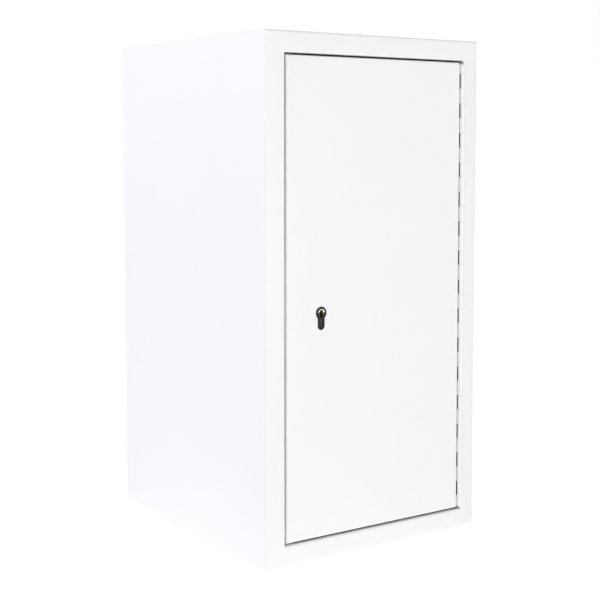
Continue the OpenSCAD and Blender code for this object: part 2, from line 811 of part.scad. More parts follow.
module deadbolt() {
    color(steel) placed() difference() {
        translate([forend_x, bolt_d0, bolt_z0]) cube([bolt_tail - forend_x, bolt_t, bolt_h]);
        translate([talon_x - talon_w / 2, bolt_d0 - 1, bolt_z0 - 1])
            cube([talon_w, bolt_t + 2, lock_z + talon_top - bolt_z0 + 1]);
        for (x = [guide_x, guide_x + bolt_throw]) {
            rod_d(x, guide_z, bolt_d0 - 1, bolt_d0 + bolt_t + 1, guide_slot_r);
        }
        translate([guide_x, bolt_d0 - 1, guide_z - guide_slot_r])
            cube([bolt_throw, bolt_t + 2, 2 * guide_slot_r]);
    }
}

left_side_panel();
right_side_panel();
top_panel();
bottom_panel();
back_panel();
stop_strip_top();
stop_strip_bottom();
stop_strip_left_upper();
stop_strip_left_lower();
door_buffers();
strike_plate();
strike_screws();
hinge_frame_leaf();
hinge_pin();
hinge_frame_rivets();
door_panel();
door_stiffener();
hinge_door_leaf();
hinge_door_rivets();
lock_bracket();
lock_case();
lock_cover();
lock_forend();
lock_posts();
lock_detent_spring();
lock_fixing_screws();
lock_cover_screws();
cylinder_body();
cylinder_screw();
driver_pins();
pin_springs();
cylinder_plug();
cylinder_cam();
cam_clip();
key_pins();
deadbolt();
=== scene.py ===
import json
import math

import bmesh
import bpy
import numpy as np
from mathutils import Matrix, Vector


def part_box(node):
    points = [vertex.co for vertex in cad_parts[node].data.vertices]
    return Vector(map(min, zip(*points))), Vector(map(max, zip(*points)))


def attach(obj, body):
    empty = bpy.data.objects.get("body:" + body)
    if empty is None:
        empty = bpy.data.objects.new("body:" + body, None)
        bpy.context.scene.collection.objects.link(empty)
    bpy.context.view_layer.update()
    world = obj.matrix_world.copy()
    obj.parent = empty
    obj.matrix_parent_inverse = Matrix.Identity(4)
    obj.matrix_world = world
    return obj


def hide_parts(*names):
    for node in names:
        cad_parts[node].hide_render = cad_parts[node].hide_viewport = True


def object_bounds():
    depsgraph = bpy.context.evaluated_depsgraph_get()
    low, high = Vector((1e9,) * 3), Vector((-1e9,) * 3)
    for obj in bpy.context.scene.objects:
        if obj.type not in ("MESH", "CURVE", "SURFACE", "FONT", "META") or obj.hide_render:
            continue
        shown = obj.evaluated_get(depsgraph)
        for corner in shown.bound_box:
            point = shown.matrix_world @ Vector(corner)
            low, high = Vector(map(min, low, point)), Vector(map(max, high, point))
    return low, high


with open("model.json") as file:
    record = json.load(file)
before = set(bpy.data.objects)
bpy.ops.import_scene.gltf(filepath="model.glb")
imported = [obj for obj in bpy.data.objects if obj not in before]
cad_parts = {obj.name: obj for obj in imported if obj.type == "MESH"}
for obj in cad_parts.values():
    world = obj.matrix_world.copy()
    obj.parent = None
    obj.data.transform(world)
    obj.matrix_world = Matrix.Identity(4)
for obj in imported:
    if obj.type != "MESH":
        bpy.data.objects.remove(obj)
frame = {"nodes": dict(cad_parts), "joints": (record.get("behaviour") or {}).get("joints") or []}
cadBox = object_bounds()
print("frame loaded:", len(frame["nodes"]), "nodes")

# places: every piece is drawn in mm as (x, depth, z) from the front lower left corner
mm = 0.001
corner = np.array([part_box("left_side_panel")[0].x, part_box("left_side_panel")[0].y, cadBox[0].z])
cabinetSize = {
    "width": (cadBox[1].x - cadBox[0].x) / mm,
    "height": (cadBox[1].z - cadBox[0].z) / mm,
    "depth": (cadBox[1].y - corner[1]) / mm,
}


def toFrame(points):  # mm from the corner -> metres in the frame
    return points * mm + corner


def fromFrame(spot):
    return (np.array(spot) - corner) / mm


def nodeBox(node):  # lowest and highest corner of a CAD node, in mm from the corner
    low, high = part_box(node)
    return fromFrame(low), fromFrame(high)


jointSpot = {j["name"]: fromFrame(j["pos_m"]) for j in frame["joints"] if "pos_m" in j}
hingeX, hingeDepth = jointSpot["door_hinge"][:2]
plugX, plugZ = jointSpot["plug_turn"][[0, 2]]

# mesh tools


def gridQuads(rows, cols):  # quads of a grid whose columns close round on themselves
    r, c = np.meshgrid(np.arange(rows - 1), np.arange(cols), indexing="ij")
    n = (c + 1) % cols
    return np.stack([r * cols + c, r * cols + n, (r + 1) * cols + n, (r + 1) * cols + c], -1).reshape(-1, 4)


def tube(points, ends="fan"):
    # points[row, column] is a surface P(v, u) closed in u; ends are closed by a fan, one face or strips
    rows, cols = points.shape[:2]
    verts, faces = points.reshape(-1, 3), [gridQuads(rows, cols)]
    k = np.arange(cols)
    last = (rows - 1) * cols
    if ends == "fan":
        n = (k + 1) % cols
        faces.append(np.stack([n, k, np.full(cols, rows * cols)], -1))
        faces.append(np.stack([last + k, last + n, np.full(cols, rows * cols + 1)], -1))
        verts = np.vstack([verts, points[0].mean(0), points[-1].mean(0)])
    elif ends == "face":
        faces.append(k[::-1][None])
        faces.append(last + k[None])
    elif ends == "strips":  # the outline's second half runs back along its first
        i = np.arange(cols // 2 - 1)
        strip = np.stack([i, cols - 1 - i, cols - 2 - i, i + 1], -1)
        faces += [strip, last + strip[:, ::-1]]
    elif ends == "ring":  # the last row joins the first
        faces.append(np.stack([last + k, last + (k + 1) % cols, (k + 1) % cols, k], -1))
    return verts, faces


def outward(verts, faces):  # turns every face round if the shell's signed volume is negative
    volume = 0.0
    for f in faces:
        p = verts[f]
        for i in range(1, f.shape[1] - 1):
            volume += np.einsum("ij,ij->", p[:, 0], np.cross(p[:, i], p[:, i + 1]))
    return faces if volume > 0 else [f[:, ::-1] for f in faces]


def buildMesh(name, shells):
    verts, corners, sizes, start = [], [], [], 0
    for points, faces in shells:
        for f in outward(points, faces):
            corners.append((f + start).ravel())
            sizes.append(np.full(len(f), f.shape[1]))
        verts.append(points)
        start += len(points)
    verts, corners, sizes = np.vstack(verts), np.concatenate(corners), np.concatenate(sizes)
    mesh = bpy.data.meshes.new(name)
    mesh.vertices.add(len(verts))
    mesh.loops.add(len(corners))
    mesh.polygons.add(len(sizes))
    mesh.vertices.foreach_set("co", toFrame(verts).astype(np.float32).ravel())
    mesh.loops.foreach_set("vertex_index", corners.astype(np.int32))
    mesh.polygons.foreach_set("loop_start", (np.cumsum(sizes) - sizes).astype(np.int32))
    mesh.polygons.foreach_set("use_smooth", np.ones(len(sizes), bool))
    mesh.update(calc_edges=True)
    mesh.validate()
    return mesh


def addPiece(name, mesh, body, slotName, material, replaced=(), creaseAngle=32):
    mesh.set_sharp_from_angle(angle=math.radians(creaseAngle))
    mesh.materials.clear()
    mesh.materials.append(material)
    piece = bpy.data.objects.new(name, mesh)
    bpy.context.scene.collection.objects.link(piece)
    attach(piece, body)
    if replaced:
        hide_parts(*replaced)
    return piece


def addShells(name, shells, *settings):
    return addPiece(name, buildMesh(name, shells), *settings)


def revolved(profile, origin, axis, steps=40):
    # a profile (radius, height) turned about axis: origin + height * axis + radius * (cos a, sin a)
    profile = np.array(profile, float)
    axis = np.array(axis, float)
    side = np.roll(axis, 1)
    across = np.cross(axis, side)
    a = np.linspace(0, 2 * math.pi, steps, endpoint=False)
    spokes = np.cos(a)[:, None] * side + np.sin(a)[:, None] * across
    points = profile[:, 0, None, None] * spokes + profile[:, 1, None, None] * axis + np.array(origin)
    return tube(points)


def inset(outline, distance):  # moves each point of a closed outline inward along its mean edge normal
    before = outline - np.roll(outline, 1, 0)
    after = np.roll(outline, -1, 0) - outline
    normals = [np.stack([-e[:, 1], e[:, 0]], -1) / np.linalg.norm(e, axis=1)[:, None]
               for e in (before, after)]
    mean = normals[0] + normals[1]
    mean /= np.maximum((mean * normals[0]).sum(1), 0.35)[:, None]
    turn = np.sum(outline[:, 0] * np.roll(outline[:, 1], -1) - np.roll(outline[:, 0], -1) * outline[:, 1])
    return outline + mean * distance * (1 if turn > 0 else -1)


def extruded(outline, low, high, soft, onto, ends="fan"):
    # an outline (p, q) carried from low to high, its end edges rounded by soft; onto(p, q, r) places it
    rows = []
    for edge, way in ((low, 1), (high, -1)):
        rounding = [(soft * math.cos(t), soft * (1 - math.sin(t))) for t in np.linspace(0, math.pi / 2, 4)]
        rounding = [(soft - c, edge + way * s) for s, c in rounding] if soft else [(0, edge)]
        rows.append(rounding if way > 0 else rounding[::-1])
    points = []
    for gap, r in rows[0][::-1] + rows[1][::-1]:
        p = inset(outline, gap) if gap else outline
        points.append(onto(p[:, 0], p[:, 1], np.full(len(p), r)))
    return tube(np.array(points), ends)


def alongDepth(p, q, r):  # an outline in (x, z) carried through the depth
    return np.stack([p, r, q], -1)


def alongHeight(p, q, r):  # an outline in (x, depth) carried up
    return np.stack([p, q, r], -1)


def circlePoints(radius, steps, start=0.0, end=2 * math.pi, closed=True):
    a = np.linspace(start, end, steps, endpoint=not closed)
    return np.stack([radius * np.cos(a), radius * np.sin(a)], -1)


def roundedRectangle(x0, y0, x1, y1, radius, steps=4):
    corners = [(x1, y1, 0), (x0, y1, 1), (x0, y0, 2), (x1, y0, 3)]
    points = []
    for x, y, quarter in corners:
        middle = (x + (-radius if x == x1 else radius), y + (-radius if y == y1 else radius))
        a0 = quarter * math.pi / 2
        points.append(circlePoints(radius, steps, a0, a0 + math.pi / 2, closed=False) + middle)
    return np.vstack(points)


# node groups


def newGroup(name, inputs, outputs):
    group = bpy.data.node_groups.new(name, "ShaderNodeTree")
    for label, kind, value in inputs:
        socket = group.interface.new_socket(label, in_out="INPUT", socket_type=kind)
        if value is not None:
            socket.default_value = value
    for label, kind in outputs:
        group.interface.new_socket(label, in_out="OUTPUT", socket_type=kind)
    return group, group.nodes.new("NodeGroupInput"), group.nodes.new("NodeGroupOutput")


def addNode(tree, kind, values=None, **settings):
    node = tree.nodes.new(kind)
    for key, value in settings.items():
        setattr(node, key, value)
    for key, value in (values or {}).items():
        node.inputs[key].default_value = value
    return node


def scaledNoise(tree, vector, scale, detail=2.0, roughness=0.5):
    noise = addNode(tree, "ShaderNodeTexNoise", {"Detail": detail, "Roughness": roughness})
    tree.links.new(vector, noise.inputs["Vector"])
    if isinstance(scale, (int, float)):
        noise.inputs["Scale"].default_value = scale
    else:
        tree.links.new(scale, noise.inputs["Scale"])
    return noise.outputs["Fac"]


def mathNode(tree, operation, a, b, clamp=False):
    node = addNode(tree, "ShaderNodeMath", operation=operation, use_clamp=clamp)
    for i, value in enumerate((a, b)):
        if isinstance(value, (int, float)):
            node.inputs[i].default_value = value
        else:
            tree.links.new(value, node.inputs[i])
    return node.outputs[0]


def rangeNode(tree, value, low, high, toLow, toHigh):
    span = {"From Min": low, "From Max": high, "To Min": toLow, "To Max": toHigh}
    node = addNode(tree, "ShaderNodeMapRange", span)
    tree.links.new(value, node.inputs["Value"])
    return node.outputs["Result"]


def makeOrangePeel():  # height of a sprayed and baked coat: broad soft dimples with finer ones on them
    group, source, sink = newGroup(
        "orangePeel", [("Vector", "NodeSocketVector", None), ("Size", "NodeSocketFloat", 500.0)],
        [("Height", "NodeSocketFloat")])
    broad = scaledNoise(group, source.outputs["Vector"], source.outputs["Size"], 1.0)
    finer = mathNode(group, "MULTIPLY", source.outputs["Size"], 3.1)
    fine = scaledNoise(group, source.outputs["Vector"], finer, 2.0)
    soft = mathNode(group, "MULTIPLY", fine, 0.3)
    group.links.new(mathNode(group, "ADD", broad, soft), sink.inputs["Height"])
    return group


def makeClouding():  # slow change over a surface between Low and High
    group, source, sink = newGroup(
        "clouding", [("Vector", "NodeSocketVector", None), ("Size", "NodeSocketFloat", 8.0),
                     ("Low", "NodeSocketFloat", 0.3), ("High", "NodeSocketFloat", 0.5)],
        [("Value", "NodeSocketFloat"), ("Mask", "NodeSocketFloat")])
    cloud = scaledNoise(group, source.outputs["Vector"], source.outputs["Size"], 5.0, 0.6)
    mask = rangeNode(group, cloud, 0.32, 0.68, 0.0, 1.0)
    spread = addNode(group, "ShaderNodeMapRange")
    group.links.new(mask, spread.inputs["Value"])
    group.links.new(source.outputs["Low"], spread.inputs["To Min"])
    group.links.new(source.outputs["High"], spread.inputs["To Max"])
    group.links.new(spread.outputs["Result"], sink.inputs["Value"])
    group.links.new(mask, sink.inputs["Mask"])
    return group


def makeBrushing():  # fine lines: noise stretched along one axis by the Stretch vector
    group, source, sink = newGroup(
        "brushing", [("Vector", "NodeSocketVector", None),
                     ("Stretch", "NodeSocketVector", (40.0, 4000.0, 4000.0))],
        [("Lines", "NodeSocketFloat")])
    stretch = addNode(group, "ShaderNodeVectorMath", operation="MULTIPLY")
    group.links.new(source.outputs["Vector"], stretch.inputs[0])
    group.links.new(source.outputs["Stretch"], stretch.inputs[1])
    group.links.new(scaledNoise(group, stretch.outputs[0], 1.0, 3.0, 0.65), sink.inputs["Lines"])
    return group


def makeEdgeRub():  # mask of the outer edges, where a finish is thin or handled bright
    group, source, sink = newGroup(
        "edgeRub", [("Vector", "NodeSocketVector", None), ("Start", "NodeSocketFloat", 0.52),
                    ("Breakup", "NodeSocketFloat", 0.06)],
        [("Mask", "NodeSocketFloat")])
    geometry = addNode(group, "ShaderNodeNewGeometry")
    ragged = scaledNoise(group, source.outputs["Vector"], 220.0, 4.0, 0.7)
    offset = mathNode(group, "MULTIPLY", mathNode(group, "SUBTRACT", ragged, 0.5), source.outputs["Breakup"])
    edge = mathNode(group, "ADD", geometry.outputs["Pointiness"], offset)
    above = mathNode(group, "SUBTRACT", edge, source.outputs["Start"])
    group.links.new(mathNode(group, "MULTIPLY", above, 14.0, clamp=True), sink.inputs["Mask"])
    return group


orangePeel, clouding, brushing, edgeRub = makeOrangePeel(), makeClouding(), makeBrushing(), makeEdgeRub()
print("node groups made")

# materials


def newMaterial(name, metallic=0.0, **fixed):
    material = bpy.data.materials.new(name)
    material.use_nodes = True
    tree = material.node_tree
    shader = tree.nodes["Principled BSDF"]
    shader.inputs["Metallic"].default_value = metallic
    for key, value in fixed.items():
        shader.inputs[key.replace("_", " ")].default_value = value
    place = addNode(tree, "ShaderNodeTexCoord").outputs["Object"]
    return material, tree, shader, place


def useGroup(tree, group, place, **values):
    node = addNode(tree, "ShaderNodeGroup", node_tree=group)
    tree.links.new(place, node.inputs["Vector"])
    for key, value in values.items():
        node.inputs[key].default_value = value
    return node


def mixColours(tree, mask, first, second):
    mix = addNode(tree, "ShaderNodeMix", data_type="RGBA")
    tree.links.new(mask, mix.inputs["Factor"])
    for i, colour in ((6, first), (7, second)):
        if isinstance(colour, tuple):
            mix.inputs[i].default_value = (*colour, 1)
        else:
            tree.links.new(colour, mix.inputs[i])
    return mix.outputs[2]


def addBump(tree, shader, height, distance, strength):
    bump = addNode(tree, "ShaderNodeBump", {"Strength": strength, "Distance": distance})
    tree.links.new(height, bump.inputs["Height"])
    tree.links.new(bump.outputs["Normal"], shader.inputs["Normal"])


powderSettings = {
    "white": (0.868, 0.868, 0.872),
    "thin": (0.842, 0.846, 0.857),      # where the coat is a little thinner
    # painted shade: near-black deep in the hinge's channel
    "hingeShade": (0.11, 0.108, 0.105),
    "gloss": (0.36, 0.44),
    "peelSize": 620.0,
    "peelDepth": 0.00003,
}


def makePowderCoat(name, settings, shadeDepths=None):
    # shadeDepths: (from, to) in mm behind the front, over which the hinge is painted darker toward
    # near-black, as painted shade in the hinge's channel
    material, tree, shader, place = newMaterial(name, IOR=1.5)
    cloud = useGroup(tree, clouding, place, Size=5.0, Low=settings["gloss"][0], High=settings["gloss"][1])
    speck = scaledNoise(tree, place, 2600.0, 2.0, 0.7)
    speckMask = rangeNode(tree, speck, 0.62, 0.8, 0.0, 0.35)
    cloudy = mathNode(tree, "MULTIPLY", cloud.outputs["Mask"], 0.35)
    thin = mathNode(tree, "ADD", cloudy, speckMask, clamp=True)
    coat = mixColours(tree, thin, settings["white"], settings["thin"])
    if shadeDepths:
        # painted shade: darker deeper behind the front, with a ragged edge
        split = addNode(tree, "ShaderNodeSeparateXYZ")
        tree.links.new(place, split.inputs[0])
        start, end = (corner[1] + depth * mm for depth in shadeDepths)
        ragged = mathNode(tree, "SUBTRACT", scaledNoise(tree, place, 300.0), 0.5)
        shadeEdgeJitter = mathNode(tree, "MULTIPLY", ragged, 0.001)
        shadeMask = rangeNode(tree, mathNode(tree, "ADD", split.outputs["Y"], shadeEdgeJitter), start, end, 0.0, 1.0)
        coat = mixColours(tree, shadeMask, coat, settings["hingeShade"])
    tree.links.new(coat, shader.inputs["Base Color"])
    tree.links.new(cloud.outputs["Value"], shader.inputs["Roughness"])
    peel = useGroup(tree, orangePeel, place, Size=settings["peelSize"])
    addBump(tree, shader, peel.outputs["Height"], settings["peelDepth"], 0.5)
    return material


zincSettings = {
    "bright": (0.36, 0.37, 0.395),
    "warm": (0.31, 0.305, 0.28),      # passivated patches
    "rubbed": (0.50, 0.50, 0.51),
    "gloss": (0.26, 0.42),
}


def makeZincPlate():
    material, tree, shader, place = newMaterial("zincPlate", 1.0)
    low, high = zincSettings["gloss"]
    cloud = useGroup(tree, clouding, place, Size=34.0, Low=low, High=high)
    cells = addNode(tree, "ShaderNodeTexVoronoi", {"Scale": 260.0})
    tree.links.new(place, cells.inputs["Vector"])
    spangle = rangeNode(tree, cells.outputs["Distance"], 0.0, 0.9, 0.0, 1.0)
    patches = mathNode(tree, "MULTIPLY", cloud.outputs["Mask"], spangle)
    plate = mixColours(tree, patches, zincSettings["bright"], zincSettings["warm"])
    rub = useGroup(tree, edgeRub, place)
    finish = mixColours(tree, rub.outputs["Mask"], plate, zincSettings["rubbed"])
    tree.links.new(finish, shader.inputs["Base Color"])
    tree.links.new(cloud.outputs["Value"], shader.inputs["Roughness"])
    peel = useGroup(tree, orangePeel, place, Size=900.0)
    addBump(tree, shader, peel.outputs["Height"], 0.00002, 0.5)
    return material


def makeBrushedMetal(name, colour, worn, gloss, stretch, lineDepth=0.000012):
    # brushed or drawn metal: lines in roughness and height, darker clouding, edges rubbed bright
    material, tree, shader, place = newMaterial(name, 1.0)
    lines = useGroup(tree, brushing, place, Stretch=stretch).outputs["Lines"]
    cloud = useGroup(tree, clouding, place, Size=60.0)
    dulled = mixColours(tree, mathNode(tree, "MULTIPLY", cloud.outputs["Mask"], 0.4), colour,
                        tuple(c * 0.78 for c in colour))
    rub = useGroup(tree, edgeRub, place, Start=0.53)
    tree.links.new(mixColours(tree, rub.outputs["Mask"], dulled, worn), shader.inputs["Base Color"])
    tree.links.new(rangeNode(tree, lines, 0.3, 0.7, gloss[0], gloss[1]), shader.inputs["Roughness"])
    addBump(tree, shader, lines, lineDepth, 0.6)
    return material


def makeTurnedMetal(name, colour, worn, gloss, ringPitch):
    # faced on a lathe: rings round the key plug's axis; nearly black in the keyway as painted shade, with
    # oily dirt round its mouth, and the lower half of the face darkened as a painted dark reflection
    material, tree, shader, place = newMaterial(name, 1.0)
    centred = addNode(tree, "ShaderNodeMapping")
    centre = toFrame(np.array([plugX, 0.0, plugZ]))
    centred.inputs["Location"].default_value = (-centre[0], 0.0, -centre[2])
    centred.inputs["Scale"].default_value = (1.0, 0.0, 1.0)
    tree.links.new(place, centred.inputs["Vector"])
    reach = addNode(tree, "ShaderNodeVectorMath", operation="LENGTH")
    tree.links.new(centred.outputs["Vector"], reach.inputs[0])
    wobble = mathNode(tree, "MULTIPLY", scaledNoise(tree, place, 900.0), 0.00025)
    radius = mathNode(tree, "ADD", reach.outputs["Value"], wobble)
    rings = mathNode(tree, "SINE", mathNode(tree, "MULTIPLY", radius, 2 * math.pi / ringPitch), 0.0)
    cloud = useGroup(tree, clouding, place, Size=240.0, Low=gloss[0], High=gloss[1])
    face = mixColours(tree, cloud.outputs["Mask"], colour, worn)
    # distance to the keyway's line, which runs down from a little under its top
    split = addNode(tree, "ShaderNodeSeparateXYZ")
    tree.links.new(centred.outputs["Vector"], split.inputs[0])
    overTop = mathNode(tree, "SUBTRACT", split.outputs["Z"], plugShadeAndGrime["top"] * mm)
    above = mathNode(tree, "MAXIMUM", overTop, 0.0)
    aside = mathNode(tree, "ABSOLUTE", split.outputs["X"], 0.0)
    away = mathNode(tree, "POWER", mathNode(tree, "ADD", mathNode(tree, "POWER", above, 2.0),
                                            mathNode(tree, "POWER", aside, 2.0)), 0.5)
    # painted shade inside the keyway, with oily dirt round its mouth
    shadeAndGrime = rangeNode(tree, away, plugShadeAndGrime["full"] * mm, plugShadeAndGrime["none"] * mm, 1.0, 0.0)
    # painted dark reflection: the plug face darker toward its lower half
    lowerFacePaintedShade = rangeNode(tree, split.outputs["Z"], plugShadeAndGrime["low"] * mm, plugShadeAndGrime["high"] * mm, 0.93, 0.0)
    # the keyway's painted shade and grime joined with the lower face's painted dark reflection
    shadeAndGrime = mathNode(tree, "MAXIMUM", shadeAndGrime, lowerFacePaintedShade)
    tree.links.new(mixColours(tree, shadeAndGrime, face, plugShadeAndGrime["colour"]), shader.inputs["Base Color"])
    tree.links.new(mathNode(tree, "ADD", cloud.outputs["Value"], mathNode(tree, "MULTIPLY", shadeAndGrime, 0.3)),
                   shader.inputs["Roughness"])
    addBump(tree, shader, rings, 0.000012, 0.7)
    return material


def makeRubber():
    material, tree, shader, place = newMaterial("bufferRubber", Specular_IOR_Level=0.25)
    cloud = useGroup(tree, clouding, place, Size=300.0, Low=0.62, High=0.85)
    bloom = mixColours(tree, mathNode(tree, "MULTIPLY", cloud.outputs["Mask"], 0.5),
                       (0.014, 0.014, 0.015), (0.032, 0.032, 0.033))
    tree.links.new(bloom, shader.inputs["Base Color"])
    tree.links.new(cloud.outputs["Value"], shader.inputs["Roughness"])
    addBump(tree, shader, scaledNoise(tree, place, 3000.0, 3.0), 0.00003, 0.5)
    return material


# painted shade in the keyway and on the lower half of the plug face, with oily dirt round the keyway; in mm
# from the plug's axis and from the keyway's line
plugShadeAndGrime = {
    "top": 2.6,
    "full": 2.1,
    "none": 2.8,
    "low": 0.3,
    "high": 2.2,
    "colour": (0.03, 0.018, 0.012),
}
powderCoat = makePowderCoat("powderCoat", powderSettings)
# the hinge's coat, with painted shade deep in its channel
hingeCoat = makePowderCoat("hingeCoat", powderSettings, (0.6, 3.0))
zincPlate = makeZincPlate()
# name: colour, colour of rubbed edges, lowest and highest roughness, stretch of the brush lines
brushedFinishes = {
    "brightSteel": ((0.33, 0.33, 0.34), (0.52, 0.52, 0.52), (0.24, 0.42), (60, 3500, 3500)),
    "drawnSteel": ((0.36, 0.36, 0.36), (0.52, 0.52, 0.52), (0.2, 0.36), (3500, 3500, 60)),
    "blackNickel": ((0.030, 0.028, 0.025), (0.075, 0.07, 0.062), (0.26, 0.4), (3800, 3800, 80)),
    "pinBrass": ((0.24, 0.165, 0.08), (0.42, 0.31, 0.16), (0.18, 0.32), (3000, 3000, 200)),
}
brightSteel, drawnSteel, blackNickel, pinBrass = (
    makeBrushedMetal(name, *finish) for name, finish in brushedFinishes.items())
warmNickel = makeTurnedMetal("warmNickel", (0.83, 0.80, 0.74), (0.68, 0.62, 0.53), (0.18, 0.30), 0.00042)
bufferRubber = makeRubber()
print("materials made")

# folded and machined pieces: CAD copies with their cut edges eased


def eased(node, name, width, slotName, material, body, sharpMitres=False):
    # cut edges get a small round of width mm; mitred faces that meet a neighbour can stay sharp and closed
    mesh = frame["nodes"][node].data.copy()
    mesh.name = name
    shape = bmesh.new()
    shape.from_mesh(mesh)
    bmesh.ops.remove_doubles(shape, verts=shape.verts, dist=2e-6)
    bmesh.ops.dissolve_limit(shape, angle_limit=math.radians(0.4), verts=shape.verts, edges=shape.edges)
    weight = shape.edges.layers.float.new("bevel_weight_edge")
    for edge in shape.edges:
        if len(edge.link_faces) != 2 or edge.calc_face_angle(0) < math.radians(40):
            continue
        mitre = any(abs(f.normal.x) > 0.3 and abs(f.normal.z) > 0.3 and abs(f.normal.y) < 0.05
                    for f in edge.link_faces)
        edge[weight] = 0.0 if mitre and sharpMitres else 1.0
    for face in shape.faces:
        face.smooth = True
    shape.to_mesh(mesh)
    shape.free()
    if "custom_normal" in mesh.attributes:
        mesh.attributes.remove(mesh.attributes["custom_normal"])
    piece = addPiece(name, mesh, body, slotName, material, (node,))
    bevel = piece.modifiers.new("easedEdges", "BEVEL")
    bevel.limit_method = "WEIGHT"
    bevel.width = width * mm
    bevel.segments = 2
    bevel.harden_normals = True
    bevel.miter_outer = "MITER_ARC"
    return piece


# piece name, width of its eased edges in mm, and whether its mitred faces stay sharp
sheetPieces = {
    "left_side_panel": ("leftSidePanel", 0.35, True),
    "right_side_panel": ("rightSidePanel", 0.35, True),
    "top_panel": ("topPanel", 0.35, True),
    "bottom_panel": ("bottomPanel", 0.35, True),
    "back_panel": ("backPanel", 0.35, False),
    "stop_strip_top": ("stopStripTop", 0.3, False),
    "stop_strip_bottom": ("stopStripBottom", 0.3, False),
    "stop_strip_left_upper": ("stopStripLeftUpper", 0.3, False),
    "stop_strip_left_lower": ("stopStripLeftLower", 0.3, False),
}
doorPieces = {
    "door_panel": ("doorPanel", 0.35, "powder_coat", powderCoat),
    "door_stiffener": ("doorStiffener", 0.3, "powder_coat", powderCoat),
    "lock_bracket": ("lockBracket", 0.3, "powder_coat", powderCoat),
    "lock_case": ("lockCase", 0.25, "zinc_plate", zincPlate),
    "lock_cover": ("lockCover", 0.3, "zinc_plate", zincPlate),
    "lock_forend": ("lockForend", 0.3, "bright_steel", brightSteel),
    "lock_detent_spring": ("lockDetentSpring", 0.1, "bright_steel", brightSteel),
}
for node, (name, width, sharpMitres) in sheetPieces.items():
    eased(node, name, width, "powder_coat", powderCoat, "cabinet", sharpMitres)
eased("strike_plate", "strikePlate", 0.3, "zinc_plate", zincPlate, "cabinet")
for node, (name, width, slotName, material) in doorPieces.items():
    eased(node, name, width, slotName, material, "door")
eased("deadbolt", "deadboltBar", 0.8, "bright_steel", brightSteel, "bolt")
eased("cylinder_cam", "cylinderCam", 0.4, "bright_steel", brightSteel, "key_plug")
print("sheet and machined pieces eased")

# CAD nodes whose shape is already right keep it and get their finish
carriedFinishes = {
    "hinge_pin": drawnSteel, "lock_posts": zincPlate, "driver_pins": pinBrass, "key_pins": pinBrass,
}
for node, material in carriedFinishes.items():
    data = frame["nodes"][node].data
    data.materials.clear()
    data.materials.append(material)

# piano hinge: two rolled leaves
hingeSizes = {
    "outer": 4.0,        # outside radius of a knuckle
    "inner": 2.05,       # radius of its bore
    "knuckles": 15,      # on the frame leaf
    "pitch": 47.7,
    "rise": 1.4,         # of the middle knuckle above the middle of the hinge
    "slot": 23.6,        # opening in the door leaf for a frame knuckle
    "gap": 0.3,
    "notch": 8.0,        # depth where the notches end
    "seam": 287.0,       # degrees that a knuckle wraps round the pin
    "soft": 0.3,
}


def rolledKnuckle(side, z0, z1):
    # centre line: straight to the axis, then (-R cos t, -R sin t) round it; half the sheet each side
    s = hingeSizes
    middle, half = (s["outer"] + s["inner"]) / 2, (s["outer"] - s["inner"]) / 2
    t = np.radians(np.linspace(0, s["seam"], 44))
    straight = np.linspace(s["notch"] - hingeDepth, 0, 5)[:-1]
    centre = np.vstack([np.stack([np.full(4, -middle), straight], -1),
                        np.stack([-middle * np.cos(t), -middle * np.sin(t)], -1)])
    normal = np.vstack([np.tile([-1.0, 0.0], (4, 1)), np.stack([-np.cos(t), -np.sin(t)], -1)])
    turn = np.linspace(0, math.pi / 2, 4)
    rounding = s["soft"] * np.stack([1 - np.sin(turn), 1 - np.cos(turn)], -1)
    rows = [(z0 + up, inward) for inward, up in rounding]
    rows += [(z1 - up, inward) for inward, up in rounding[::-1]]
    points = []
    for z, inward in rows:
        loop = np.vstack([centre + normal * (half - inward), (centre - normal * (half - inward))[::-1]])
        x, depth = hingeX - side * loop[:, 0], hingeDepth + loop[:, 1]
        points.append(np.stack([x, depth, np.full(len(loop), z)], -1))
    return tube(np.array(points), "strips")


def leafShells(side, leafNode, spans):
    low, high = nodeBox(leafNode)
    s = hingeSizes
    thick = s["outer"] - s["inner"]
    edge = hingeX + side * s["outer"]
    near, far = sorted((edge, edge - side * thick))
    plate = roundedRectangle(near, s["notch"], far, high[1], 0.3)
    shells = [extruded(plate, low[2], high[2], 0.3, alongHeight)]
    return shells + [rolledKnuckle(side, a, b) for a, b in spans]


def hingeSpans():
    low, high = nodeBox("hinge_door_leaf")
    s = hingeSizes
    middle = (low[2] + high[2]) / 2 + s["rise"]
    slots = middle + (np.arange(s["knuckles"]) - (s["knuckles"] - 1) / 2) * s["pitch"]
    lower, upper = slots - s["slot"] / 2, slots + s["slot"] / 2
    frameSpans = list(zip(lower + s["gap"], upper - s["gap"]))
    doorSpans = list(zip(np.r_[low[2], upper], np.r_[lower, high[2]]))
    return frameSpans, doorSpans


frameSpans, doorSpans = hingeSpans()
addShells("hingeFrameLeaf", leafShells(1, "hinge_frame_leaf", frameSpans),
         "cabinet", "powder_coat", hingeCoat, ("hinge_frame_leaf",))
addShells("hingeDoorLeaf", leafShells(-1, "hinge_door_leaf", doorSpans),
         "door", "powder_coat", hingeCoat, ("hinge_door_leaf",))

# blind rivets: dome with the stub of its mandrel sunk in the middle, shank, and the upset tail
rivetSizes = {
    "head": 2.6, "height": 1.2, "shank": 1.5, "grip": 4.0, "tail": 2.2, "tailHeight": 0.8, "depth": 12.0,
}


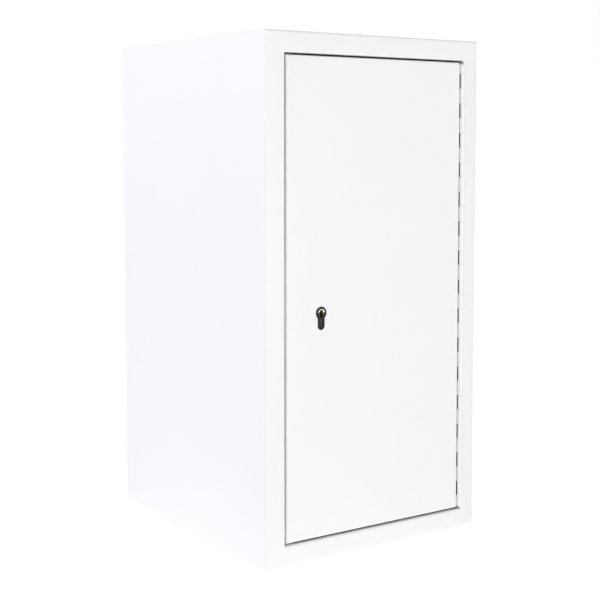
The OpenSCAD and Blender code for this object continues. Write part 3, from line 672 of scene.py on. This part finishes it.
def rivetShell(x, z, way):
    r = rivetSizes
    dome = [(r["head"] * math.cos(a), 0.12 + (r["height"] - 0.12) * math.sin(a))
            for a in np.linspace(0, 1.15, 8)]
    profile = [(0.0, 0.62), (0.62, 0.58), (0.78, 0.7), (0.86, r["height"] - 0.06)] + dome[::-1]
    profile += [(r["head"], 0.0), (r["shank"], 0.0), (r["shank"], -r["grip"])]
    profile += [(r["tail"] - 0.25, -r["grip"] - 0.05), (r["tail"], -r["grip"] - 0.35),
                (r["tail"] - 0.4, -r["grip"] - r["tailHeight"] + 0.1), (0.0, -r["grip"] - r["tailHeight"])]
    return revolved(profile, (x, r["depth"], z), (way, 0, 0), 28)


def rivetRow(node, way):
    low, high = nodeBox(node)
    headFace = (low if way < 0 else high)[0] - way * rivetSizes["height"]
    heights = np.linspace(low[2] + rivetSizes["head"], high[2] - rivetSizes["head"], 8)
    return [rivetShell(headFace, z, way) for z in heights]


addShells("hingeFrameRivets", rivetRow("hinge_frame_rivets", -1),
         "cabinet", "powder_coat", hingeCoat, ("hinge_frame_rivets",))
addShells("hingeDoorRivets", rivetRow("hinge_door_rivets", 1),
         "door", "powder_coat", hingeCoat, ("hinge_door_rivets",))
print("hinge built")

# screws with a cross recess
screwStyles = {
    "strike": {"head": 3.5, "height": 1.6, "shank": 2.0, "length": 10.0, "cross": 1.9},
    "fixing": {"head": 3.5, "height": 2.0, "shank": 2.0, "length": 5.5, "cross": 1.9},
    "cover": {"head": 2.8, "height": 1.5, "shank": 1.5, "length": 7.0, "cross": 1.5},
}


def screwShell(style, spot, axis):
    # head height over (r, a): a flattened dome, less a cross-shaped recess whose walls slope in
    s = style
    axis = np.array(axis, float)
    side = np.roll(axis, 1)
    across = np.cross(axis, side)
    r = np.r_[np.linspace(0.02, s["cross"] * 1.15, 15), np.linspace(s["cross"] * 1.3, s["head"], 7)]
    a = np.linspace(0, 2 * math.pi, 72, endpoint=False)
    rr, aa = np.meshgrid(r, a, indexing="ij")
    p, q = np.abs(rr * np.cos(aa)), np.abs(rr * np.sin(aa))
    arm = np.clip((s["cross"] * 0.26 - np.minimum(p, q)) / 0.16, 0, 1)
    reach = np.clip((s["cross"] - np.maximum(p, q)) / 0.3, 0, 1)
    dome = s["height"] * (1 - 0.62 * (rr / s["head"]) ** 4)
    height = dome - 0.75 * s["height"] * arm * reach
    skirt = [(s["head"], 0.0), (s["shank"], 0.0),
             (s["shank"], -s["length"] + 0.6), (s["shank"] - 0.6, -s["length"])]
    radius = np.vstack([rr] + [np.full((1, len(a)), x[0]) for x in skirt])
    height = np.vstack([height] + [np.full((1, len(a)), x[1]) for x in skirt])
    turn = np.cos(a)[:, None] * side + np.sin(a)[:, None] * across
    points = radius[..., None] * turn + height[..., None] * axis + np.array(spot)
    return tube(points)


def nodeSpots(node, axis):
    # middles of a node's separate solids: vertices within 9 mm of each other, seen along the axis
    data = frame["nodes"][node].data
    points = np.empty(len(data.vertices) * 3, np.float32)
    data.vertices.foreach_get("co", points)
    points = fromFrame(points.reshape(-1, 3))
    flat = np.delete(points, axis, 1)
    spots = []
    while len(flat):
        near = np.linalg.norm(flat - flat[0], axis=1) < 9.0
        spots.append((flat[near].min(0) + flat[near].max(0)) / 2)
        flat = flat[~near]
    return spots


strikeHigh = nodeBox("strike_screws")[1][0] - screwStyles["strike"]["height"]
strikeShells = [screwShell(screwStyles["strike"], (strikeHigh, d, z), (1, 0, 0))
                for d, z in nodeSpots("strike_screws", 0)]
addShells("strikeScrews", strikeShells, "cabinet", "zinc_plate", zincPlate, ("strike_screws",))
for node, name, style in (("lock_fixing_screws", "lockFixingScrews", "fixing"),
                          ("lock_cover_screws", "lockCoverScrews", "cover")):
    seat = nodeBox(node)[1][1] - screwStyles[style]["height"]
    shells = [screwShell(screwStyles[style], (x, seat, z), (0, 1, 0)) for x, z in nodeSpots(node, 1)]
    addShells(name, shells, "door", "bright_steel", brightSteel, (node,))
print("screws built")

# rubber buffers: a dot with a rolled edge and a shallow dish
bufferHeight = nodeBox("door_buffers")[1][1] - nodeBox("door_buffers")[0][1]
bufferProfile = [(0.0, 0.78), (2.2, 0.8), (3.0, 0.92)]
bufferProfile += [(3.6 + 0.9 * math.sin(a), 0.55 + 0.45 * math.cos(a))
                  for a in np.linspace(0, math.pi / 2, 7)]
bufferProfile = [(r, h * bufferHeight) for r, h in bufferProfile] + [(4.5, 0.0), (0.0, 0.0)]
bufferBack = nodeBox("door_buffers")[1][1]
bufferShells = [revolved(bufferProfile, (x, bufferBack, z), (0, -1, 0), 36)
                for x, z in nodeSpots("door_buffers", 1)]
addShells("doorBuffers", bufferShells, "cabinet", "buffer_rubber", bufferRubber, ("door_buffers",))
print("buffers built")

# edge seal: a thin dark rubber bead along the outer edge of each stop strip, set in line with the door's gap
# so that it paints the gap's shade
sealSizes = {"width": 4.2, "thick": 1.3, "soft": 0.5, "inset": 0.2, "end": 0.6}


def gapShadeSealShell(strip, side):
    # a rounded bar across (p, depth), carried along the strip; side is the strip edge that it follows
    s = sealSizes
    low, high = nodeBox(strip)
    front = low[1] - s["thick"]
    if side == "left":
        start = openingLow[0] + s["inset"]
        outline = roundedRectangle(start, front, start + s["width"], low[1], s["soft"])
        return extruded(outline, low[2] + s["end"], high[2] - s["end"], 0.3, alongHeight)
    start = openingHigh[2] - s["inset"] - s["width"] if side == "top" else openingLow[2] + s["inset"]
    outline = roundedRectangle(start, front, start + s["width"], low[1], s["soft"])
    return extruded(outline, low[0] + s["end"], high[0] - s["end"], 0.3,
                    lambda p, q, r: np.stack([r, q, p], -1))


# the opening in the front frame, from the door and the gaps round it
gapRound = {"side": 2.5, "height": 3.0}
doorLow, doorHigh = nodeBox("door_panel")
openingLow = doorLow - np.array([gapRound["side"], 0, gapRound["height"]])
openingHigh = doorHigh + np.array([0, 0, gapRound["height"]])
sealRuns = {"stop_strip_top": "top", "stop_strip_bottom": "bottom",
            "stop_strip_left_upper": "left", "stop_strip_left_lower": "left"}
addShells("gapShadeSeal", [gapShadeSealShell(node, side) for node, side in sealRuns.items()],
         "cabinet", "buffer_rubber", bufferRubber)
print("edge seal built")

# welds
weldSizes = {
    "leg": 3.0, "length": 26.0, "ripple": 1.3, "first": 52.0, "pitch": 98.0, "count": 4, "sheet": 2.0,
}


def stitchShell(x, z, xWay, zWay, start):
    # a fillet in the corner: r(a, v) = leg * ripple * taper, a over the quarter circle between the walls
    w = weldSizes
    v = np.linspace(0, 1, 64)
    a = np.linspace(0, math.pi / 2, 9)
    taper = np.sqrt(np.clip(1 - np.abs(2 * v - 1) ** 6, 0.02, 1))
    ripple = 1 + 0.07 * np.cos(2 * math.pi * v * w["length"] / w["ripple"])
    reach = (w["leg"] * taper * ripple)[:, None]
    p = np.hstack([np.zeros((len(v), 1)), reach * np.cos(a)])
    q = np.hstack([np.zeros((len(v), 1)), reach * np.sin(a)])
    depth = np.repeat((start + v * w["length"])[:, None], p.shape[1], 1)
    return tube(np.stack([x + xWay * p, depth, z + zWay * q], -1))


stitchShells = []
for x, xWay in ((weldSizes["sheet"], 1), (cabinetSize["width"] - weldSizes["sheet"], -1)):
    for z, zWay in ((weldSizes["sheet"], 1), (cabinetSize["height"] - weldSizes["sheet"], -1)):
        for i in range(weldSizes["count"]):
            stitchShells.append(stitchShell(x, z, xWay, zWay, weldSizes["first"] + i * weldSizes["pitch"]))
addShells("cornerStitchWelds", stitchShells, "cabinet", "powder_coat", powderCoat)

# spot welds: a shallow ring pressed up round a dished middle
spotProfile = [(0.0, 0.02), (1.6, 0.03), (2.3, 0.12), (2.8, 0.14), (3.3, 0.03), (3.5, -0.2), (0.0, -0.2)]
backFace = nodeBox("back_panel")[0][1]
edgeIn = 12.0
acrossSpots = np.linspace(60, cabinetSize["width"] - 60, 4)
upSpots = np.linspace(60, cabinetSize["height"] - 60, 8)
backSpots = [(x, z) for x in acrossSpots for z in (edgeIn, cabinetSize["height"] - edgeIn)]
backSpots += [(x, z) for z in upSpots for x in (edgeIn, cabinetSize["width"] - edgeIn)]
spotShells = [revolved(spotProfile, (x, backFace, z), (0, -1, 0), 24) for x, z in backSpots]
addShells("backPanelSpotWelds", spotShells, "cabinet", "powder_coat", powderCoat)

footLow, footHigh = nodeBox("door_stiffener")
footFace = footLow[1] + 1.5
footSpots = [(x, z) for z in np.linspace(footLow[2] + 25, footHigh[2] - 25, 8)
             for x in (footLow[0] + 6, footHigh[0] - 6)]
bracketLow, bracketHigh = nodeBox("lock_bracket")
bracketSpots = [(x, z) for x in np.linspace(bracketLow[0] + 10, bracketHigh[0] - 10, 4)
                for z in (bracketLow[2] + 7, bracketHigh[2] - 7)]
doorSpotShells = [revolved(spotProfile, (x, footFace, z), (0, 1, 0), 24) for x, z in footSpots]
doorSpotShells += [revolved(spotProfile, (x, bracketLow[1] + 2.0, z), (0, 1, 0), 24) for x, z in bracketSpots]
addShells("doorSpotWelds", doorSpotShells, "door", "powder_coat", powderCoat)
print("welds built")

# profile cylinder
cylinderSizes = {
    "barrel": 8.5, "leg": 5.0, "drop": 24.5, "plug": 6.5, "play": 0.05, "neck": 4.5, "soft": 0.45,
    "camSlot": (25.0, 36.0), "camSweep": 15.6, "keyway": 1.1, "keywayTop": 3.6, "ward": 0.9,
}


def profileReach(angle, shrink=0.0):
    # radius of the profile cylinder about the plug: the larger of the barrel and the round-footed leg
    c = cylinderSizes
    barrel, half = c["barrel"] - shrink, c["leg"] - shrink
    foot = c["drop"] - c["leg"]
    down = -np.sin(angle)
    sideways = np.abs(np.cos(angle))
    along = foot * down
    arc = along + np.sqrt(np.maximum(along ** 2 - foot ** 2 + half ** 2, 0))
    wall = half / np.maximum(sideways, 1e-6)
    leg = np.where(wall * down < foot, wall, arc)
    return np.where(down > 0, np.maximum(barrel, leg), barrel)


def profileAngles():
    # even angles, with more of them where the leg's walls run nearly along the radius
    even = np.linspace(-math.pi / 2, 1.5 * math.pi, 97)[:-1]
    c = cylinderSizes
    elbow = math.acos(c["leg"] / c["barrel"])
    walls = -math.pi / 2 + np.linspace(-0.6, 0.6, 100)
    joints = np.array([-elbow, -math.pi + elbow])
    return np.unique(np.round(np.r_[even, walls, joints] % (2 * math.pi), 5))


def roundPlug(a, loops):
    # P(a) = plug axis + r(a) (cos a, sin a) at depth d for each (r, d), the last loop joined to the first
    points = [np.stack([plugX + r * np.cos(a), np.full(len(a), d), plugZ + r * np.sin(a)], -1)
              for r, d in loops]
    return tube(np.array(points), "ring")


def profileBlock(front, back, bore, softFront=True):
    # loops r(a) at a depth, from the bore round the face to the outer wall and back, joined into a ring
    a = profileAngles()
    soft = cylinderSizes["soft"]
    loops = [(np.full(len(a), bore), back), (np.full(len(a), bore), front + 0.25 * softFront)]
    if softFront:
        loops += [(np.full(len(a), bore + 0.25), front)]
        loops += [(profileReach(a, soft * (1 - math.sin(t))), front + soft * (1 - math.cos(t)))
                  for t in np.linspace(0, math.pi / 2, 5)]
    else:
        loops += [(profileReach(a), front)]
    loops += [(profileReach(a), back)]
    return roundPlug(a, loops)


def bridgeShell(front, back):
    # the web under the cam: the foot of the leg below a circle swept by the cam
    c = cylinderSizes
    foot = c["drop"] - c["leg"]
    reach = math.asin(c["leg"] / c["camSweep"])
    top = circlePoints(c["camSweep"], 13, -math.pi / 2 + reach, -math.pi / 2 - reach, closed=False)
    bottom = circlePoints(c["leg"], 25, math.pi, 2 * math.pi, closed=False) - np.array([0, foot])
    outline = np.vstack([top, bottom]) + np.array([plugX, plugZ])
    return extruded(outline, front, back, 0, alongDepth, "face")


bodyLow, bodyHigh = nodeBox("cylinder_body")
slotFront, slotBack = cylinderSizes["camSlot"]
bodyShells = [
    profileBlock(bodyLow[1], slotFront, cylinderSizes["plug"] + cylinderSizes["play"]),
    profileBlock(slotBack, bodyHigh[1], cylinderSizes["neck"] + cylinderSizes["play"], False),
    bridgeShell(slotFront, slotBack),
]
addShells("cylinderBody", bodyShells, "door", "black_nickel", blackNickel, ("cylinder_body",))


def gapShadeSleeveShell():
    # a dark rubber sleeve in the gap between the cylinder and its cut-out, with a thin lip on the door face:
    # it paints the shade of that gap
    a = profileAngles()
    g = gapShadeSleeveSizes
    loops = [(-g["inner"], g["back"]), (-g["inner"], g["front"] + 0.15), (-g["inner"] - 0.15, g["front"]),
             (-g["lip"] + 0.12, g["front"]), (-g["lip"], g["front"] + 0.12), (-g["lip"], g["seat"]),
             (-g["outer"], g["seat"]), (-g["outer"], g["back"])]
    return roundPlug(a, [(profileReach(a, shrink), d) for shrink, d in loops])


gapShadeSleeveSizes = {"inner": 0.04, "outer": 0.78, "lip": 1.3, "seat": -0.01, "front": -0.4, "back": 2.6}
addShells("cylinderGapShade", [gapShadeSleeveShell()], "door", "buffer_rubber", bufferRubber)

plugLow, plugHigh = nodeBox("cylinder_plug")
plugBack = cylinderSizes["camSlot"][0] - 0.1
keywayEnd = 23.0
dish = {"rim": 5.95, "slope": (0.3, 0.85), "soft": 0.2}   # slope at the top and at the bottom


def keywayWall():
    # right wall up from the rim, round the top and down the left one; the wards step in and out
    c = cylinderSizes
    half, ward, top = c["keyway"], c["ward"], c["keywayTop"]
    foot = -math.sqrt(c["plug"] ** 2 - half ** 2)
    turns = [(half, foot), (half, -0.6), (half + ward, -0.6), (half + ward, 0.8), (half, 0.8),
             (half, top - 0.5), (half - 0.5, top), (0.5 - half, top), (-half, top - 0.5), (-half, -2.4),
             (-half - ward, -2.4), (-half - ward, -3.6), (-half, -3.6), (-half, foot)]
    turns = np.array(turns)
    runs = [np.linspace(p, q, max(2, int(np.linalg.norm(q - p) / 0.22)), endpoint=False)
            for p, q in zip(turns[:-1], turns[1:])]
    return np.vstack(runs + [turns[-1:]])


def plugShell():
    # sections from the back over the rim, down a shallow cone to the keyway and back along its wall
    c = cylinderSizes
    wall = keywayWall()
    step = np.r_[0, np.cumsum(np.linalg.norm(np.diff(wall, axis=0), axis=1))]
    gap = math.asin(c["keyway"] / c["plug"])
    angle = -math.pi / 2 + gap + step / step[-1] * (2 * math.pi - 2 * gap)
    spoke = np.stack([np.cos(angle), np.sin(angle)], -1)
    front, soft = plugLow[1], dish["soft"]
    rim = [(c["plug"] - soft * (1 - math.sin(t)), front + soft * (1 - math.cos(t)))
           for t in np.linspace(math.pi / 2, 0, 5)]
    rows = [(spoke * c["plug"], np.full(len(angle), keywayEnd))]
    rows += [(spoke * r, np.full(len(angle), d)) for r, d in rim]
    inner = spoke * (c["plug"] - soft)
    for v in np.linspace(0, 1, 15)[1:]:
        p = inner * (1 - v) + wall * v
        reach = np.linalg.norm(p, axis=1)
        share = 0.5 - 0.5 * np.clip(p[:, 1] / np.maximum(reach, 1e-3), -1, 1)
        slope = dish["slope"][0] + (dish["slope"][1] - dish["slope"][0]) * share ** 2
        rows.append((p, front + slope * np.clip(dish["rim"] - reach, 0, None)))
    rows.append((wall, np.full(len(angle), keywayEnd)))
    points = [np.stack([plugX + p[:, 0], d, plugZ + p[:, 1]], -1) for p, d in rows]
    return tube(np.array(points).transpose(1, 0, 2), "face")


def plugShells():
    c = cylinderSizes
    plugOutline = circlePoints(c["plug"], 90) + np.array([plugX, plugZ])
    disc = extruded(plugOutline, keywayEnd, plugBack, 0, alongDepth)
    neck = [(0.0, plugBack), (c["neck"], plugBack), (c["neck"], 34.8), (3.8, 34.85), (3.8, 35.75),
            (c["neck"], 35.8), (c["neck"], plugHigh[1] - 0.5), (c["neck"] - 0.5, plugHigh[1]),
            (0.0, plugHigh[1])]
    return [plugShell(), disc, revolved(neck, (plugX, 0, plugZ), (0, 1, 0), 48)]


addShells("cylinderPlug", plugShells(), "key_plug", "nickel_plate", warmNickel, ("cylinder_plug",))


def clipShell():
    # snap ring: a rounded rectangle carried round the neck, open at the top
    low, high = nodeBox("cam_clip")
    u = np.radians(np.linspace(115, 425, 60))
    section = roundedRectangle(3.87, low[1], 5.95, high[1], 0.15)
    points = np.stack([plugX + section[None, :, 0] * np.cos(u)[:, None],
                       np.tile(section[:, 1], (len(u), 1)),
                       plugZ + section[None, :, 0] * np.sin(u)[:, None]], -1)
    return tube(points)


addShells("camClip", [clipShell()], "key_plug", "bright_steel", drawnSteel, ("cam_clip",))

# pin springs: P(u, v) = ((R + r cos v) cos u, (R + r cos v) sin u, climb * u + r sin v)
springSizes = {"coilRadius": 1.1, "wire": 0.18, "turns": 7.0, "count": 5, "first": 4.0, "pitch": 4.0}


def springShell(depth, z0, z1):
    s = springSizes
    u = np.linspace(0, 2 * math.pi * s["turns"], 150)[:, None]
    v = np.linspace(0, 2 * math.pi, 8, endpoint=False)[None]
    reach = s["coilRadius"] + s["wire"] * np.cos(v)
    climb = z0 + (z1 - z0) * u / u.max()
    x, y, z = plugX + reach * np.cos(u), depth + reach * np.sin(u), climb + s["wire"] * np.sin(v)
    return tube(np.stack([x, y, z], -1))


springLow, springHigh = nodeBox("pin_springs")
springShells = [
    springShell(springSizes["first"] + i * springSizes["pitch"], springLow[2] + 0.2, springHigh[2] - 0.2)
    for i in range(springSizes["count"])]
addShells("pinSprings", springShells, "door", "bright_steel", drawnSteel, ("pin_springs",))


def forendScrewShell():
    # countersunk screw: flat head with a cross recess, cone and shank, its head toward -x
    low, high = nodeBox("cylinder_screw")
    depth, z = (low[1] + high[1]) / 2, (low[2] + high[2]) / 2
    r = np.r_[np.linspace(0.02, 2.3, 15), np.linspace(2.5, 4.45, 5)]
    a = np.linspace(0, 2 * math.pi, 72, endpoint=False)
    rr, aa = np.meshgrid(r, a, indexing="ij")
    p, q = np.abs(rr * np.cos(aa)), np.abs(rr * np.sin(aa))
    arm = np.clip((0.55 - np.minimum(p, q)) / 0.2, 0, 1)
    recess = 1.3 * arm * np.clip((2.1 - np.maximum(p, q)) / 0.35, 0, 1)
    skirt = [(4.6, 0.12), (2.45, 2.2), (2.45, high[0] - low[0] - 1.0), (1.6, high[0] - low[0])]
    radius = np.vstack([rr] + [np.full((1, len(a)), x[0]) for x in skirt])
    along = np.vstack([recess] + [np.full((1, len(a)), x[1]) for x in skirt])
    points = np.stack([low[0] + along, depth + radius * np.cos(a), z + radius * np.sin(a)], -1)
    return tube(points)


addShells("cylinderScrew", [forendScrewShell()], "door", "zinc_plate", zincPlate, ("cylinder_screw",))
print("profile cylinder built")

# floor, light and camera
studio = {
    "worldLight": 1.12,
    "fadeFrom": 0.1,       # height in the sky where its light starts to fade
    "fadeTo": 0.5,
    "topLight": 0.06,      # share of it left overhead
    "rightLight": 0.5,     # share of it left on the right
    "worldColour": (1.0, 1.0, 1.0),
    "floorColour": (0.85, 0.85, 0.85),
    "floorGlow": 1.0,      # to the camera
    "floorLight": 0.45,    # to everything else
}


def makeFloor():
    size, steps = 9.0, 24
    u, v = np.meshgrid(np.linspace(-size, size, steps), np.linspace(-size, size, steps), indexing="ij")
    points = np.stack([u, v, np.full_like(u, cadBox[0].z - 0.0004)], -1).reshape(-1, 3)
    r, c = np.meshgrid(np.arange(steps - 1), np.arange(steps - 1), indexing="ij")
    quads = np.stack([r * steps + c, (r + 1) * steps + c, (r + 1) * steps + c + 1, r * steps + c + 1], -1)
    quads = quads.reshape(-1, 4)
    mesh = bpy.data.meshes.new("studioFloor")
    mesh.from_pydata(points.tolist(), [], quads.tolist())
    material, tree, shader, place = newMaterial("paleFloor")
    cloud = useGroup(tree, clouding, place, Size=1.2, Low=0.7, High=0.85)
    tree.links.new(cloud.outputs["Value"], shader.inputs["Roughness"])
    shader.inputs["Base Color"].default_value = (*studio["floorColour"], 1)
    shader.inputs["Specular IOR Level"].default_value = 0.0
    shader.inputs["Emission Color"].default_value = (1, 1, 1, 1)
    seen = addNode(tree, "ShaderNodeLightPath").outputs["Is Camera Ray"]
    glow = rangeNode(tree, seen, 0.0, 1.0, studio["floorLight"], studio["floorGlow"])
    tree.links.new(glow, shader.inputs["Emission Strength"])
    mesh.materials.append(material)
    floor = bpy.data.objects.new("studioFloor", mesh)
    bpy.context.scene.collection.objects.link(floor)


def makeWorld():
    # white to the camera; as a light it is brightest near the horizon and on the left
    world = bpy.data.worlds.new("paleStudio")
    bpy.context.scene.world = world
    world.use_nodes = True
    tree = world.node_tree
    back = tree.nodes["Background"]
    split = addNode(tree, "ShaderNodeSeparateXYZ")
    tree.links.new(addNode(tree, "ShaderNodeTexCoord").outputs["Generated"], split.inputs[0])
    up = rangeNode(tree, split.outputs["Z"], studio["fadeFrom"], studio["fadeTo"], 1.0, studio["topLight"])
    right = rangeNode(tree, split.outputs["X"], 0.2, 1.0, 1.0, studio["rightLight"])
    light = mathNode(tree, "MULTIPLY", mathNode(tree, "MULTIPLY", up, right), studio["worldLight"])
    seen = addNode(tree, "ShaderNodeLightPath").outputs["Is Camera Ray"]
    back.inputs["Color"].default_value = (*studio["worldColour"], 1)
    tree.links.new(mathNode(tree, "MAXIMUM", light, seen), back.inputs["Strength"])


softLights = {
    "keyFromLeft": {"spot": (-4.6, -5.4, 1.9), "aim": (0, 0, 0.35), "size": (2.2, 4.4), "power": 60.0,
                    "colour": (1.0, 0.985, 0.97)},
    "fillFromFront": {"spot": (0.35, -3.1, 0.1), "aim": (0, -0.2, 0.15), "size": (2.2, 0.7), "power": 37.5,
                      "colour": (1.0, 0.995, 0.985)},
    "fillFromBack": {"spot": (-5.0, 3.0, 2.4), "aim": (0, 0, 0.5), "size": (2.4, 3.0), "power": 133.0,
                     "colour": (0.9, 0.87, 0.98)},
    "overhead": {"spot": (-0.3, -0.4, 2.9), "aim": (0, -0.15, 0.5), "size": (1.6, 1.1), "power": 24.0,
                 "colour": (1.0, 1.0, 1.0)},
}


def makeLights():
    for name, light in softLights.items():
        data = bpy.data.lights.new(name, "AREA")
        data.shape = "RECTANGLE"
        data.size, data.size_y = light["size"]
        data.energy = light["power"]
        data.color = light["colour"]
        lamp = bpy.data.objects.new(name, data)
        bpy.context.scene.collection.objects.link(lamp)
        lamp.location = light["spot"]
        way = Vector(light["aim"]) - Vector(light["spot"])
        lamp.rotation_euler = way.to_track_quat("-Z", "Y").to_euler()


cameraSetup = {
    "fromCorner": (-0.970, -1.517, 0.6344),   # from the front lower left corner, in metres
    "turn": 34.2,                             # degrees from straight ahead toward the right
    "dip": 3.885,                             # degrees below level
    "lens": 74.3,
    "shift": -0.1202,
}


def makeCamera():
    data = bpy.data.cameras.new("viewCamera")
    data.lens, data.sensor_width, data.shift_y = cameraSetup["lens"], 36.0, cameraSetup["shift"]
    data.clip_start, data.clip_end = 0.02, 60.0
    camera = bpy.data.objects.new("viewCamera", data)
    bpy.context.scene.collection.objects.link(camera)
    camera.location = [corner[i] + cameraSetup["fromCorner"][i] for i in range(3)]
    camera.rotation_euler = (math.radians(90 - cameraSetup["dip"]), 0, math.radians(-cameraSetup["turn"]))
    bpy.context.scene.camera = camera


makeFloor()
makeWorld()
makeLights()
makeCamera()
bpy.context.scene.view_settings.view_transform = "Standard"
print("stage, light and camera set")
